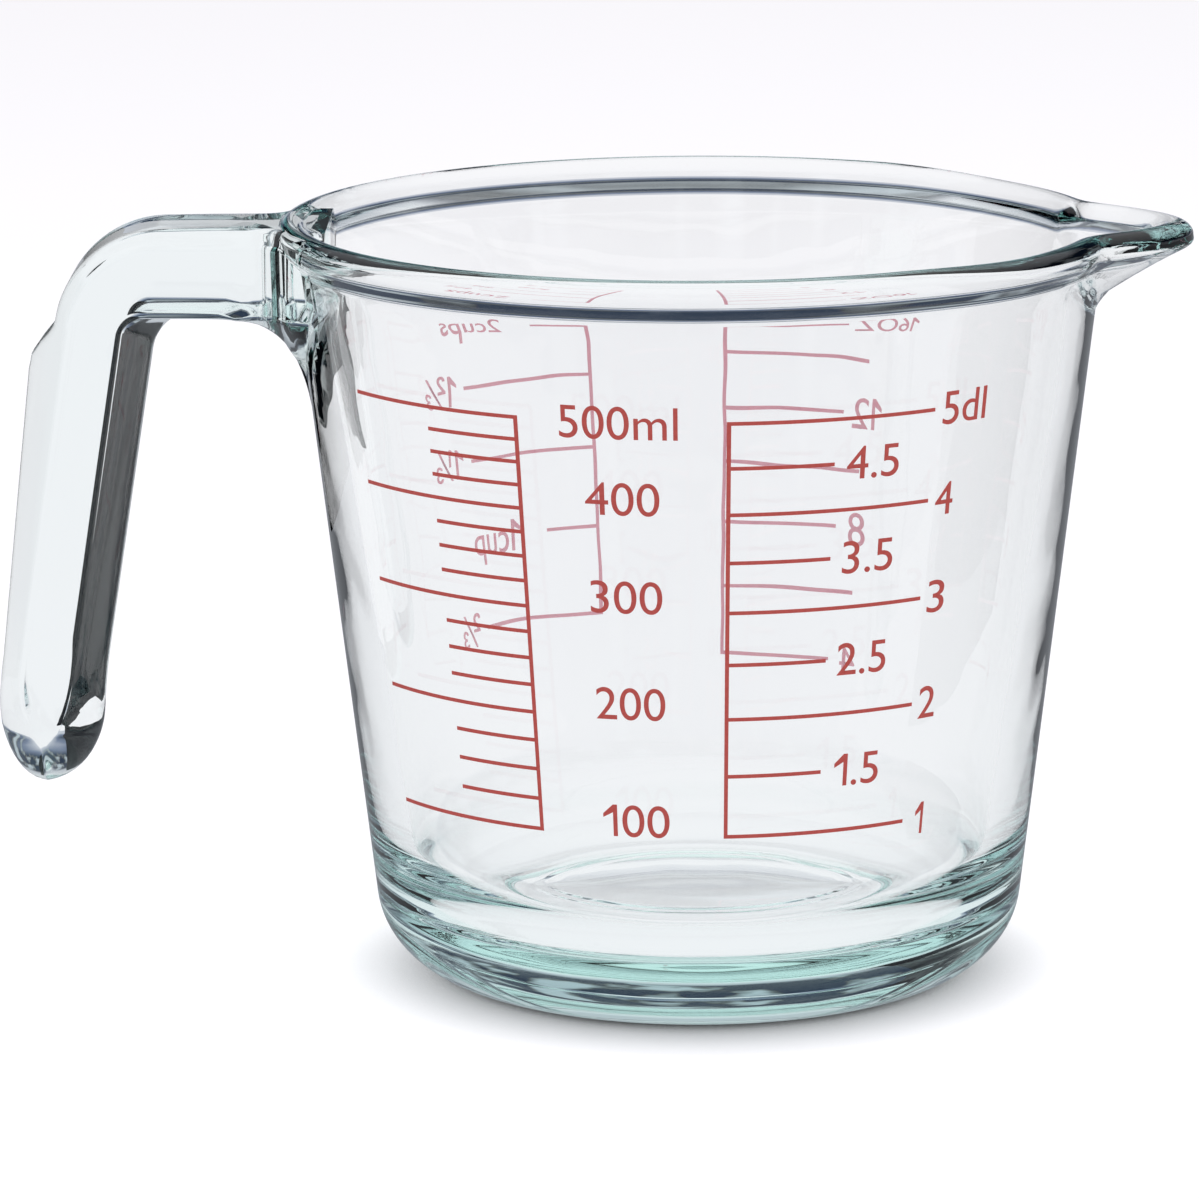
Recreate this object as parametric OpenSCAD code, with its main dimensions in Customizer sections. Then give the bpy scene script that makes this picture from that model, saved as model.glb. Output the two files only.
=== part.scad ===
// Pressed glass measuring jug: one glass moulding, with four enamel scales fired onto its wall.
// Millimetres. The origin is the centre of the foot on the table, +Z is up,
// the spout points to +X and the handle to -X.

/* [Bowl] */

// Height from the table to the crest of the rim
jug_h = 107; // [100:1:116]
// Radius where the line of the outer wall meets the table
wall_r = 44.2; // [41:0.2:48]
// Lean of the outer wall from upright, in degrees
wall_lean = 6.8; // [5:0.1:8.5]
// Thickness of the glass wall at the rim, measured level
wall_rim_t = 2.8; // [2.4:0.1:4]
// Thickness of the glass wall at the table, measured level
wall_foot_t = 6.2; // [4.5:0.1:8]
// Thickness of the glass in the floor
floor_t = 9.2; // [7:0.2:12]
// Radius of the inside corner round the floor
floor_corner_r = 15; // [10:0.5:18]
// Radius of the rounded heel round the foot
heel_r = 12.5; // [9:0.25:15]

/* [Foot and floor] */

// Width of the ring that stands on the table
foot_w = 3.6; // [2:0.2:6]
// Depth of the hollow under the floor
hollow_d = 1.2; // [0.6:0.1:2]
// Radius of the low raised disc on the floor inside
pad_r = 21; // [16:0.5:23]
// Height of that disc
pad_h = 0.6; // [0.3:0.1:1.2]
// Width of the slope round that disc
pad_slope = 4; // [2:0.5:5]

/* [Rim] */

// How far the rim stands out from the wall
rim_bead = 1.8; // [1:0.1:2.6]
// Height of the rim above the slope under it
rim_h = 3.0; // [2.6:0.1:6]
// Height of the slope under the rim
rim_slope = 2.3; // [1:0.1:4]

/* [Spout] */

// How far the lip reaches out past the line of the wall
spout_reach = 12.9; // [9:0.2:16]
// Height of the spout from its lip down to where its keel meets the wall
spout_h = 12; // [10:0.5:18]
// Half of the angle that the spout takes out of the rim, in degrees
spout_half_angle = 26; // [18:0.5:30]
// Thickness of the glass in the spout
spout_t = 3.2; // [2.6:0.1:4.2]
// How far the sides of the lip lie below the crest of the rim
lip_drop = 1.2; // [0.4:0.1:2]
// How far the lip dips further to its tip
lip_dip = 0.2; // [0.1:0.1:3]

/* [Handle] */

// Distance from the middle of the jug to the outside of the grip, where its end begins
handle_reach = 97.7; // [92:0.1:106]
// How far the top of the handle lies below the crest of the rim
handle_drop = 0.6; // [0.4:0.1:5]
// Height of the handle's free end above the table
handle_end_z = 26.8; // [14:0.1:36]
// Width of the handle across the arm, between its flat faces
handle_w = 21; // [17:0.5:25]
// Width of the handle at its free end
handle_end_w = 18; // [14:0.5:22]
// Height of the flat faces on the arm
arm_face = 10.2; // [8:0.2:11]
// Width of the flat faces on the grip
grip_face = 7.3; // [5:0.1:9]
// How far the arm is crowned past its flat faces, above and below
arm_crown = 1.1; // [0.6:0.1:2]
// How far the outside of the grip is crowned past its flat faces, under the bend
grip_crown = 5.6; // [3:0.1:6.5]
// How far the outside of the grip is crowned at its free end
end_crown = 3.1; // [2:0.1:5]
// How far the inside of the grip is crowned past its flat faces
finger_crown = 4.3; // [2:0.1:4.6]
// Length of the grip over which its outer crown rises, under the bend
crown_rise = 7; // [5:0.5:14]
// Slope of the sides between the flat faces and the crowns, in degrees
side_slope = 27; // [18:0.5:35]
// Lean of the grip, in degrees
grip_lean = 9.1; // [4:0.1:11]
// Outside radius of the flat faces' bend
bend_r = 13; // [11:0.5:18]
// Inside radius of the flat faces' bend
bend_in_r = 5; // [4.8:0.1:7]
// Radius of the edges of the flat faces
edge_r = 1.2; // [0.6:0.1:2]
// Radius of the edges of the crowns
crown_r = 4; // [2:0.5:6]
// Length along the arm of the web under it, where it grows out of the wall
web_l = 10.5; // [8:0.5:12]
// Height of that web down the wall
web_h = 20; // [10:0.5:26]
// Radius of the flare at each side of the arm, where it grows out of the wall
flare_r = 4.5; // [2:0.1:5.5]
// Length of the rounded free end
end_l = 10.5; // [8:0.5:14]
// Length of the pointed end of the flat faces
face_end_l = 10; // [6:0.5:14]
// How far the point of the flat faces lies above the free end
face_tip = 8.7; // [6:0.1:10]

/* [Enamel scales] */

// Width of the printed lines
line_w = 0.75; // [0.5:0.05:1]
// Thickness of the enamel
enamel_t = 0.15; // [0.1:0.01:0.3]
// Clear wall kept between the highest mark and the rim
mark_clear = 4; // [2:0.5:8]
// Angle of the metric pair's middle round the jug, in degrees
metric_angle = -100.9; // [-110:0.1:-80]
// Angle between the two metric spines, in degrees
metric_gap = 30.6; // [26:0.2:36]
// Angle taken by a long metric mark, in degrees
long_mark = 31; // [24:0.2:34]
// Angle taken by a short metric mark, in degrees
short_mark = 15.3; // [10:0.1:20]
// Angle of the kitchen pair's middle round the jug, in degrees
kitchen_angle = 96.8; // [90:0.1:110]
// Angle between the two kitchen spines, in degrees
kitchen_gap = 23; // [18:0.2:30]
// Angle taken by a long kitchen mark, in degrees
long_kitchen_mark = 25; // [20:0.2:30]
// Angle taken by an ounce mark with a figure, in degrees
ounce_mark = 21; // [14:0.2:26]
// Angle taken by a whole cup mark, in degrees
cup_mark = 10; // [6:0.2:16]

/* [Hidden] */

$fn = 180;

glass_colour = [0.78, 0.90, 0.86, 0.55];
enamel_colour = [0.72, 0.26, 0.24];

right_angle = 90;
half_turn = 180;
arc_steps = 12;
// Small overlap that carries one shape into the next
bite = 1;

// Wall, measured level: it thins from the table to the rim
wall_thin = (wall_foot_t - wall_rim_t) / jug_h;
in_lean = atan(tan(wall_lean) + wall_thin);
function wall_out(z) = wall_r + z * tan(wall_lean);
function wall_in(z) = wall_out(z) - wall_foot_t + z * wall_thin;
function wall_mid(z) = (wall_out(z) + wall_in(z)) / 2;

// Points of an arc in the plane of a section
function arc(c, r, from, to, n) = [
    for (i = [0:n]) let (a = from + (to - from) * i / n) [c[0] + r * cos(a), c[1] + r * sin(a)]
];

// Heel, tangent to the table and to the outer wall
heel_c = [wall_out(heel_r) - heel_r / cos(wall_lean), heel_r];
foot_in_r = heel_c[0] - foot_w;

// Inside corner, tangent to the floor and to the inner wall
corner_z = floor_t + floor_corner_r;
corner_c = [wall_in(corner_z) - floor_corner_r / cos(in_lean), corner_z];
corner_top_z = corner_z - floor_corner_r * sin(in_lean);

// Rim, a rounded crest over a band that stands out from the wall
rim_t = wall_rim_t + rim_bead;
rim_c_z = jug_h - rim_t / 2;
rim_c = [wall_out(rim_c_z) + rim_bead - rim_t / 2, rim_c_z];
band_z = jug_h - rim_h;
rim_z = band_z - rim_slope;

bowl_section = concat(
    [[0, hollow_d], [foot_in_r - hollow_d, hollow_d], [foot_in_r, 0]],
    arc(heel_c, heel_r, -right_angle, -wall_lean, arc_steps),
    [[wall_out(rim_z), rim_z], [wall_out(band_z) + rim_bead, band_z]],
    arc(rim_c, rim_t / 2, 0, half_turn, 2 * arc_steps),
    arc(corner_c, floor_corner_r, -in_lean, -right_angle, arc_steps),
    [[pad_r + pad_slope, floor_t], [pad_r, floor_t + pad_h], [0, floor_t + pad_h]]
);

// Inside radius of the bowl and the volume, in millilitres, that it holds up to a height
ml = 1000;
slices = 60;
mid_slice = 0.5;
function sum(v) = v * [for (i = v) 1];
function bore(z) = z < corner_top_z
    ? corner_c[0] + sqrt(pow(floor_corner_r, 2) - pow(corner_z - z, 2))
    : wall_in(z);
pad_ml = PI * pad_h * pow(pad_r + pad_slope / 2, 2) / ml;
function volume(z) = let (dz = (z - floor_t) / slices)
    PI * dz / ml * sum([for (i = [0:slices - 1]) pow(bore(floor_t + (i + mid_slice) * dz), 2)]) - pad_ml;

// Height of the filling that holds a volume, found by halving
halvings = 18;
function level(v, low = floor_t, high = jug_h, n = halvings) = let (mid = (low + high) / 2)
    n == 0 ? mid : volume(mid) < v ? level(v, mid, high, n - 1) : level(v, low, mid, n - 1);
mark_top_z = rim_z - mark_clear;
full_ml = volume(mark_top_z);

// Marked volumes in millilitres, with those left out that lie too near the rim
ml_first = 100;
ml_step = 25;
dl_step = 50;
ml_last = 500;
millilitres = [for (v = [ml_first:ml_step:ml_last]) if (v < full_ml) v];
decilitres = [for (v = [ml_first:dl_step:ml_last]) if (v < full_ml) v];

// Marked fluid ounces and thirds of a cup
ounce_ml = 29.57;
ounce_first = 4;
ounce_step = 2;
ounce_last = 16;
cup_ounces = 8;
thirds = 3;
third_ml = cup_ounces * ounce_ml / thirds;
third_first = 2;
third_last = 2 * thirds;
ounces = [for (k = [ounce_first:ounce_step:ounce_last]) if (k * ounce_ml < full_ml) k];
cup_thirds = [for (k = [third_first:third_last]) if (k * third_ml < full_ml) k];

// Spout: the wall is drawn out by a bell curve in plan, which narrows and shortens down the keel
lip_z = jug_h - lip_drop;
spout_z = lip_z - spout_h;
lip_share = 0.45;
lip_r = spout_t * lip_share;
lip_steps = 4;
spout_fade = 0.3;
root_share = 0.25;
spout_shoulder = 2.9;
flank = 2.2;
keel_share = 0.35;
spout_steps = 14;
spout_levels = 9;
channel_rise = 3;
channel_sink = 1.6;
function keel(z) = max(0, min(1, (z - spout_z) / (spout_h - spout_shoulder)));
function spout_angle(z) = spout_half_angle * (keel_share + (1 - keel_share) * keel(z));
function bell(a, z) = abs(a) < spout_angle(z) ? pow(cos(right_angle * a / spout_angle(z)), flank) : 0;
function spout_r(a, z) = wall_out(z) - spout_fade + spout_reach * keel(z) * bell(a, z);
function channel_r(a, z) = let (low = z - channel_rise)
    wall_out(z) - spout_t - channel_sink
    + (spout_reach * keel(low) + channel_sink) * bell(a, low) * sign(keel(low));
function lip_at(a) = lip_z - lip_dip * bell(a, lip_z);
function polar(r, a, z) = [r * cos(a), r * sin(a), z];

// Rounded edges of the lip, as pairs of depth below the lip and inset, from the top down
lip_round = [for (a = [right_angle:-right_angle / lip_steps:0]) [lip_r * (1 - sin(a)), lip_r * (1 - cos(a))]];
function steps_down(from, to) = [for (i = [1:spout_levels]) from + (to - from) * i / spout_levels];

// Sections of the spout and of its channel at an angle round the jug, each closed by a line inside
spout_foot_z = spout_z - bite;
channel_z = spout_z + channel_rise;
channel_top_z = jug_h + bite;
function spout_section(a) = let (top = lip_at(a)) concat(
    [for (p = lip_round) polar(spout_r(a, top - p[0]) - p[1], a, top - p[0])],
    [for (z = steps_down(top - lip_r, spout_foot_z)) polar(spout_r(a, z), a, z)],
    [for (z = [spout_foot_z, top]) polar(wall_out(z) - root_share * wall_rim_t, a, z)]
);
function channel_section(a) = let (top = lip_at(a)) concat(
    [polar(channel_r(a, top) + lip_r, a, channel_top_z)],
    [
        for (i = [1:len(lip_round) - 1]) let (p = lip_round[i], z = top - p[0])
            polar(channel_r(a, z) + p[1], a, z)
    ],
    [for (z = steps_down(top - lip_r, channel_z)) polar(channel_r(a, z), a, z)],
    [for (z = [channel_z, channel_top_z]) polar(wall_in(z) - spout_t, a, z)]
);
spout_angles = [for (i = [-spout_steps:spout_steps]) i / spout_steps * (spout_half_angle + bite)];

// Handle: sections strung along the outer and the inner edge of its flat faces
face_top_z = jug_h - handle_drop - arm_crown;
face_low_z = face_top_z - arm_face;
grip_end_z = handle_end_z + face_tip + face_end_l;
face_reach = handle_reach - end_crown;

// Middle of a bend that is tangent to a level line at height z and to a leaning line at the grip's end
function bend_c(r, z, reach) =
    [(r + (z - r - grip_end_z) * sin(grip_lean)) / cos(grip_lean) - reach, z - r];
outer_c = bend_c(bend_r, face_top_z, face_reach);
inner_c = bend_c(bend_in_r, face_low_z, face_reach - grip_face);

// Web, a quarter of an ellipse that is tangent to the wall and to the underside of the arm
web_z = face_low_z - web_h;
web_off = norm([web_l * cos(wall_lean), web_h * sin(wall_lean)]);
web_c = [-wall_r - (web_off + web_z * sin(wall_lean)) / cos(wall_lean), web_z];
web_turn = atan(tan(wall_lean) * web_h / web_l);
web_arc = [
    for (p = arc([0, 0], 1, web_turn, right_angle, arc_steps)) web_c + [web_l * p[0], web_h * p[1]]
];

// Edges of the flat faces as matching lists of points, from inside the wall to the grip's end
root = [-wall_mid(web_z), web_arc[0][1] - bite];
outer_bend = arc(outer_c, bend_r, right_angle, half_turn - grip_lean, arc_steps);
inner_bend = arc(inner_c, bend_in_r, right_angle, half_turn - grip_lean, arc_steps);
arm_steps = 4;
function arm(from, to) = [for (i = [1:arm_steps - 1]) from + (to - from) * i / arm_steps];
grip_steps = 10;
grip_spread = 1.6;
function grip(p) = [
    for (i = [1:grip_steps]) let (z = p[1] + (grip_end_z - p[1]) * pow(i / grip_steps, grip_spread))
        [p[0] - (p[1] - z) * tan(grip_lean), z]
];
web_top = [for (p = web_arc) [p[0], face_top_z]];
outer_rail = concat(
    [[root[0], face_top_z]], web_top, arm(web_top[arc_steps], outer_bend[0]), outer_bend,
    grip(outer_bend[arc_steps])
);
inner_rail = concat(
    [root], web_arc, arm(web_arc[arc_steps], inner_bend[0]), inner_bend,
    grip(inner_bend[arc_steps])
);

// Shares of the way, from none to all, that start and stop gently
function gently(x) = let (k = max(0, min(1, x))) k * k * (3 - 2 * k);
first_arm = len(web_arc);
grip_top_z = outer_bend[arc_steps][1];
function arm_share(i) = gently((i - first_arm) / arm_steps);
function grip_share(i) = max(0, min(1, (grip_top_z - outer_rail[i][1]) / (grip_top_z - grip_end_z)));
function rise_share(i) = gently((grip_top_z - outer_rail[i][1]) / crown_rise);
function outer_crown(i) = arm_crown
    + (grip_crown + (end_crown - grip_crown) * grip_share(i) - arm_crown) * rise_share(i);
function inner_crown(i) = arm_crown + (finger_crown - arm_crown) * arm_share(i);

// Width between the flat faces, which flare out where the arm grows out of the wall
function off_wall(i) = -outer_rail[i][0] - wall_out(face_top_z);
function flare(i) = let (d = flare_r - max(0, min(flare_r, off_wall(i))))
    flare_r - sqrt(pow(flare_r, 2) - pow(d, 2));
function station_w(i) = i <= first_arm
    ? handle_w + 2 * flare(i)
    : handle_w + (handle_end_w - handle_w) * grip_share(i);

// Corner of a section, rounded by a radius that its two sides leave room for
corner_steps = 3;
side_share = 0.45;
function turned(p, a) = [p[0] * cos(a) - p[1] * sin(a), p[0] * sin(a) + p[1] * cos(a)];
function rounded(p, before, after, r) = let (
        u = (before - p) / norm(before - p),
        v = (after - p) / norm(after - p),
        turn = half_turn - acos(u * v),
        room = side_share * min(norm(before - p), norm(after - p)),
        used = min(r * tan(turn / 2), room),
        c = p + (u + v) / norm(u + v) * used / sin(turn / 2)
    )
    [for (i = [0:corner_steps]) c + turned(p + u * used - c, turn * i / corner_steps)];

// Section between two flat faces, with a crown on its outside and on its inside
least_crown = 0.06;
function crown_half(w, rise) = max(least_crown * w, w / 2 - rise / tan(side_slope));
function section(face, out, in, w) = let (
        half = face / 2,
        top = crown_half(w, out - half),
        low = crown_half(w, in - half),
        p = [
            [out, -top], [out, top], [half, w / 2], [-half, w / 2],
            [-in, low], [-in, -low], [-half, -w / 2], [half, -w / 2]
        ],
        n = len(p)
    )
    [
        for (i = [0:n - 1]) let (r = i % 4 < 2 ? crown_r : edge_r)
            each rounded(p[i], p[(i + n - 1) % n], p[(i + 1) % n], r)
    ];

// Places a section at a point of the handle's plane, with its outside turned to a direction
function placed(points, at, side) = [for (p = points) [at[0] + side[0] * p[0], p[1], at[1] + side[1] * p[0]]];
function rail_station(i) = let (
        span = outer_rail[i] - inner_rail[i],
        face = norm(span)
    )
    placed(
        section(face, face / 2 + outer_crown(i), face / 2 + inner_crown(i), station_w(i)),
        (outer_rail[i] + inner_rail[i]) / 2,
        span / face
    );

// Free end: it comes upright while the flat faces come to a point, and the crowns close round it
end_steps = 6;
end_turns = [for (i = [1:end_steps]) i * (right_angle - bite) / end_steps];
least_face = 0.04;
function rounding(d, l) = sqrt(1 - pow(max(0, (l - d) / l), 2));
function end_station(d) = let (
        gone = min(grip_end_z - handle_end_z - d, face_end_l),
        closing = rounding(d, end_l),
        narrowing = rounding(d, face_tip),
        face = grip_face * max(least_face * narrowing, rounding(max(0, d - face_tip), face_end_l)),
        x = -face_reach + grip_face / 2 - tan(grip_lean) * (gone - pow(gone, 2) / (2 * face_end_l))
    )
    placed(
        section(
            face,
            max(face / 2, grip_face / 2 * closing) + end_crown * closing,
            max(face / 2, grip_face / 2 * closing) + finger_crown * closing,
            handle_end_w * narrowing
        ),
        [x, handle_end_z + d],
        [-1, 0]
    );
end_places = concat(
    [for (a = end_turns) face_tip + face_end_l * (1 - sin(a))],
    [for (a = end_turns) face_tip * (1 - sin(a))]
);

// Skin over a stack of rings that have the same number of points
module skin(rings) {
    n = len(rings[0]);
    m = len(rings);
    points = [for (ring = rings) each ring];
    bottom = [[for (i = [0:n - 1]) i]];
    top = [[for (i = [n - 1:-1:0]) (m - 1) * n + i]];
    first = [for (j = [0:m - 2]) for (i = [0:n - 1]) [j * n + i, (j + 1) * n + i, j * n + (i + 1) % n]];
    second = [
        for (j = [0:m - 2]) for (i = [0:n - 1])
            [j * n + (i + 1) % n, (j + 1) * n + i, (j + 1) * n + (i + 1) % n]
    ];
    polyhedron(points = points, faces = concat(bottom, first, second, top));
}

module bowl() {
    rotate_extrude() polygon(bowl_section);
}

// Core that keeps the spout and the handle out of the inside of the bowl
module core() {
    cylinder(h = jug_h + bite, r1 = wall_mid(0), r2 = wall_mid(jug_h + bite));
}

module handle() {
    difference() {
        skin(concat(
            [for (i = [0:len(outer_rail) - 1]) rail_station(i)],
            [for (d = end_places) end_station(d)]
        ));
        core();
    }
}

module glass_jug() {
    color(glass_colour) difference() {
        union() {
            bowl();
            skin([for (a = spout_angles) spout_section(a)]);
            handle();
        }
        skin([for (a = spout_angles) channel_section(a)]);
    }
}

// Film of enamel over the whole wall, from which the scales are cut
module film() {
    rotate_extrude() polygon([
        [wall_out(0), 0],
        [wall_out(0) + enamel_t, 0],
        [wall_out(rim_z) + enamel_t, rim_z],
        [wall_out(rim_z), rim_z]
    ]);
}

// Block that cuts a line out of the film, between two heights and two angles
block_in_r = wall_r / 2;
block_out_r = wall_r * 2;
function spoke(r, a) = [r * cos(a), r * sin(a)];
module line(z_low, z_high, from, to) {
    translate([0, 0, z_low]) linear_extrude(z_high - z_low) polygon([
        spoke(block_in_r, from),
        spoke(block_out_r, from),
        spoke(block_out_r, to),
        spoke(block_in_r, to)
    ]);
}

// A scale: an upright spine with a mark at each height, lengths signed by the way they point
module scale_print(spine, heights, lengths) {
    last = len(heights) - 1;
    half_line = line_w / 2;
    half_spine = half_line / wall_out(heights[0]) * half_turn / PI;
    color(enamel_colour) intersection() {
        film();
        union() {
            line(heights[0], heights[last], spine - half_spine, spine + half_spine);
            for (i = [0:last]) let (z = heights[i])
                line(z - half_line, z + half_line, spine, spine + lengths[i]);
        }
    }
}

module millilitre_scale() {
    scale_print(
        metric_angle - metric_gap / 2,
        [for (v = millilitres) level(v)],
        [for (v = millilitres) v % ml_first == 0 ? -long_mark : -short_mark]
    );
}

module decilitre_scale() {
    scale_print(
        metric_angle + metric_gap / 2,
        [for (v = decilitres) level(v)],
        [for (v = decilitres) v % ml_first == 0 ? long_mark : short_mark]
    );
}

module cup_scale() {
    scale_print(
        kitchen_angle + kitchen_gap / 2,
        [for (k = cup_thirds) level(k * third_ml)],
        [for (k = cup_thirds) k % thirds == 0 ? cup_mark : long_kitchen_mark]
    );
}

module ounce_scale() {
    scale_print(
        kitchen_angle - kitchen_gap / 2,
        [for (k = ounces) level(k * ounce_ml)],
        [for (k = ounces) k % ounce_first == 0 ? -ounce_mark : -long_kitchen_mark]
    );
}

glass_jug();
millilitre_scale();
decilitre_scale();
cup_scale();
ounce_scale();
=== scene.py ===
import math
import re

import bmesh
import bpy
from mathutils import Matrix, Vector


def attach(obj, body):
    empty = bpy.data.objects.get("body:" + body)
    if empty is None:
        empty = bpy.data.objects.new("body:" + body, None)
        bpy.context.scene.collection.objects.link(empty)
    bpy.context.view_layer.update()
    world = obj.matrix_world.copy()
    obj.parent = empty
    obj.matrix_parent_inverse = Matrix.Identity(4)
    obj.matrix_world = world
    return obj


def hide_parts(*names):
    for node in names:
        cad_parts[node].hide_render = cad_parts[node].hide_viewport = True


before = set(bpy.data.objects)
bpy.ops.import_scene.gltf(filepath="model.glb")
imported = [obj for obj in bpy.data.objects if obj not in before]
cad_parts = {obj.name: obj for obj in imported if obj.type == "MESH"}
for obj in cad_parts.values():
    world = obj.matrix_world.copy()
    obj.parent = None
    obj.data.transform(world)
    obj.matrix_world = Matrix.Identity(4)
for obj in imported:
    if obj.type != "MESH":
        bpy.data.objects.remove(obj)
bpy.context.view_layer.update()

bl_info = {
    "name": "Pressed Glass Measuring Jug",
    "version": (1, 0, 0),
    "blender": (4, 5, 0),
    "location": "3D View > Sidebar > Measuring Jug",
    "description": "Presses the glass jug, fires its enamel scales and sets the studio",
    "category": "Add Mesh",
}

MM = 0.001
ML = 1e-6
ROUND_STEPS = 360
BODY = "root"
WHITE = "#FFFFFF"


def size(name, description, millimetres):
    """A length that a user would change, given in millimetres and kept in metres."""
    return bpy.props.FloatProperty(
        name=name, description=description, default=millimetres * MM, precision=5, unit="LENGTH", subtype="DISTANCE"
    )


def angle(name, description, degrees):
    """An angle that a user would change, given in degrees and kept in radians."""
    return bpy.props.FloatProperty(
        name=name, description=description, default=math.radians(degrees), unit="ROTATION", subtype="ANGLE"
    )


def linear(code):
    """The linear colour, with alpha, of an sRGB hex code."""
    shares = [int(code[i : i + 2], 16) / 255 for i in (1, 3, 5)]
    return [s / 12.92 if s <= 0.04045 else ((s + 0.055) / 1.055) ** 2.4 for s in shares] + [1.0]


def colour(name, description, code):
    """A colour that a user would change, given as sRGB hex."""
    return bpy.props.FloatVectorProperty(
        name=name, description=description, default=linear(code), size=4, min=0, max=1, subtype="COLOR"
    )


class BowlSizes(bpy.types.PropertyGroup):
    """Section of the bowl"""

    height: size("Height", "From the table to the crest of the rim", 107)
    wall_r: size("Wall radius", "Where the line of the outer wall meets the table", 44.2)
    lean: angle("Wall lean", "Lean of the outer wall from upright", 6.8)
    rim_t: size("Wall at rim", "Thickness of the wall at the rim, measured level", 2.8)
    foot_t: size("Wall at foot", "Thickness of the wall at the table, measured level", 6.2)
    floor_t: size("Floor", "Thickness of the glass in the floor", 9.2)
    corner_r: size("Inside corner", "Radius of the inside corner round the floor", 15)
    heel_r: size("Heel", "Radius of the rounded heel round the foot", 12.5)
    foot_w: size("Foot ring", "Width of the ring that stands on the table", 3.6)
    hollow_d: size("Hollow", "Depth of the hollow under the floor", 1.2)
    pad_r: size("Floor disc", "Radius of the low raised disc on the floor inside", 21)
    pad_h: size("Disc height", "Height of that disc", 0.6)
    pad_slope: size("Disc slope", "Width of the slope round that disc", 4)
    bead: size("Rim bead", "How far the rim stands out from the wall", 1.8)
    band_h: size("Rim band", "Height of the rim above the slope under it", 3.5)
    slope_h: size("Rim slope", "Height of the slope under the rim", 1.9)


class SpoutSizes(bpy.types.PropertyGroup):
    """Spout and its channel"""

    reach: size("Reach", "How far the lip reaches out past the line of the wall", 12.45)
    height: size("Height", "From the lip down to where the keel meets the wall", 12)
    shoulder: size("Shoulder", "Upright part of the spout under its lip", 2.9)
    half_angle: angle("Half angle", "Half of the angle that the spout takes out of the rim", 36)
    thickness: size("Thickness", "Thickness of the glass in the spout", 3.2)
    drop: size("Lip drop", "How far the lip lies below the crest of the rim", 0.6)
    dip: size("Lip dip", "How far the lip dips further to its tip", 0.2)
    sink_angle: angle("Sink angle", "Where the crest of the rim starts to sink towards the lip", 62)
    rise: size("Channel rise", "How far the channel lies above the keel", 3)
    sink: size("Channel sink", "How deep the channel's edges start behind the inner wall", 0.6)
    blend: size("Blend", "Width over which the spout flows into the wall", 1.4)


class HandleSizes(bpy.types.PropertyGroup):
    """Arm, grip and free end of the handle"""

    reach: size("Reach", "From the middle of the jug to the outside of the grip, where its end begins", 97.6)
    drop: size("Drop", "How far the top of the handle lies below the crest of the rim", 0.6)
    end_z: size("Free end", "Height of the free end above the table", 26.8)
    width: size("Width", "Width across the arm, between its flat faces", 21)
    end_width: size("End width", "Width at the free end", 18)
    arm_face: size("Arm face", "Height of the flat faces on the arm", 10)
    grip_face: size("Grip face", "Width of the flat faces on the grip", 7.3)
    arm_crown: size("Arm crown", "How far the arm is crowned over its flat faces", 2.2)
    arm_under: size("Arm underside", "How far the arm bulges under its flat faces", 0.3)
    grip_crown: size("Grip crown", "How far the outside of the grip is crowned under the bend", 5.6)
    end_crown: size("End crown", "How far the outside of the grip is crowned at its free end", 3.1)
    finger_crown: size("Finger crown", "How far the inside of the grip is crowned", 4.3)
    arch_r: size("Arch", "Radius of the inner crown's bend, over the fingers", 6.5)
    crown_rise: size("Crown rise", "Length of the grip over which its outer crown rises", 7)
    out_slope: angle("Outer slope", "Slope of the sides between the flat faces and the outer crown", 36)
    in_slope: angle("Inner slope", "Slope of the sides between the flat faces and the inner crown", 27)
    lean: angle("Grip lean", "Lean of the grip", 9.1)
    bend_r: size("Bend", "Outside radius of the flat faces' bend", 13)
    bend_in_r: size("Inner bend", "Inside radius of the flat faces' bend", 2.5)
    edge_r: size("Edges", "Radius of the edges of the flat faces", 1.2)
    crown_r: size("Crown edges", "Radius of the edges of the crowns", 4)
    web_l: size("Web length", "Length along the arm of the web under it", 10.5)
    web_h: size("Web height", "Height of that web down the wall", 20)
    flare_r: size("Flare", "Radius of the flare at each side of the arm at the wall", 4.5)
    end_l: size("Rounded end", "Length of the rounded free end", 10.5)
    face_end_l: size("Pointed end", "Length of the pointed end of the flat faces", 11.7)
    face_tip: size("Face tip", "How far the point of the flat faces lies above the free end", 7)
    tip_r: size("Tip", "Height over which the free end rounds off", 3.2)
    tip_slope: angle("Tip slope", "How far the free end leans in under the flat faces", 8)


class PrintSizes(bpy.types.PropertyGroup):
    """Enamel print"""

    figure_h: size("Figure height", "Height of the printed figures", 4.5)
    line_w: size("Line width", "Width of the printed lines", 0.52)
    film_t: size("Film", "How far the enamel stands proud of the glass", 0.1)
    lift: size("Lift", "How far the print's underside clears the glass, to catch light through the wall", 0.015)


class Finishes(bpy.types.PropertyGroup):
    """Colours of the glass and the enamel"""

    glass_tint: colour("Glass tint", "What is left of white light deep in the glass", "#90E8E0")
    tint_depth: bpy.props.FloatProperty(
        name="Tint depth", description="How strongly the glass takes up light, per metre", default=4.5, min=0
    )
    shadow_tint: colour("Shadow tint", "What one skin of the glass leaves of the light in its shadow", "#F8FAF9")
    enamel: colour("Enamel", "Colour of the fired enamel", "#B84640")
    thin_enamel: colour("Thin enamel", "Colour of the enamel where it is thin", "#C4524A")
    # The underside's paler pink is painted light: it stands for light shining through the thin enamel from outside
    # the jug.
    under_enamel_with_painted_backlight: colour("Enamel underside", "Colour of the enamel seen through the glass", "#DC96A4")


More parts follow.
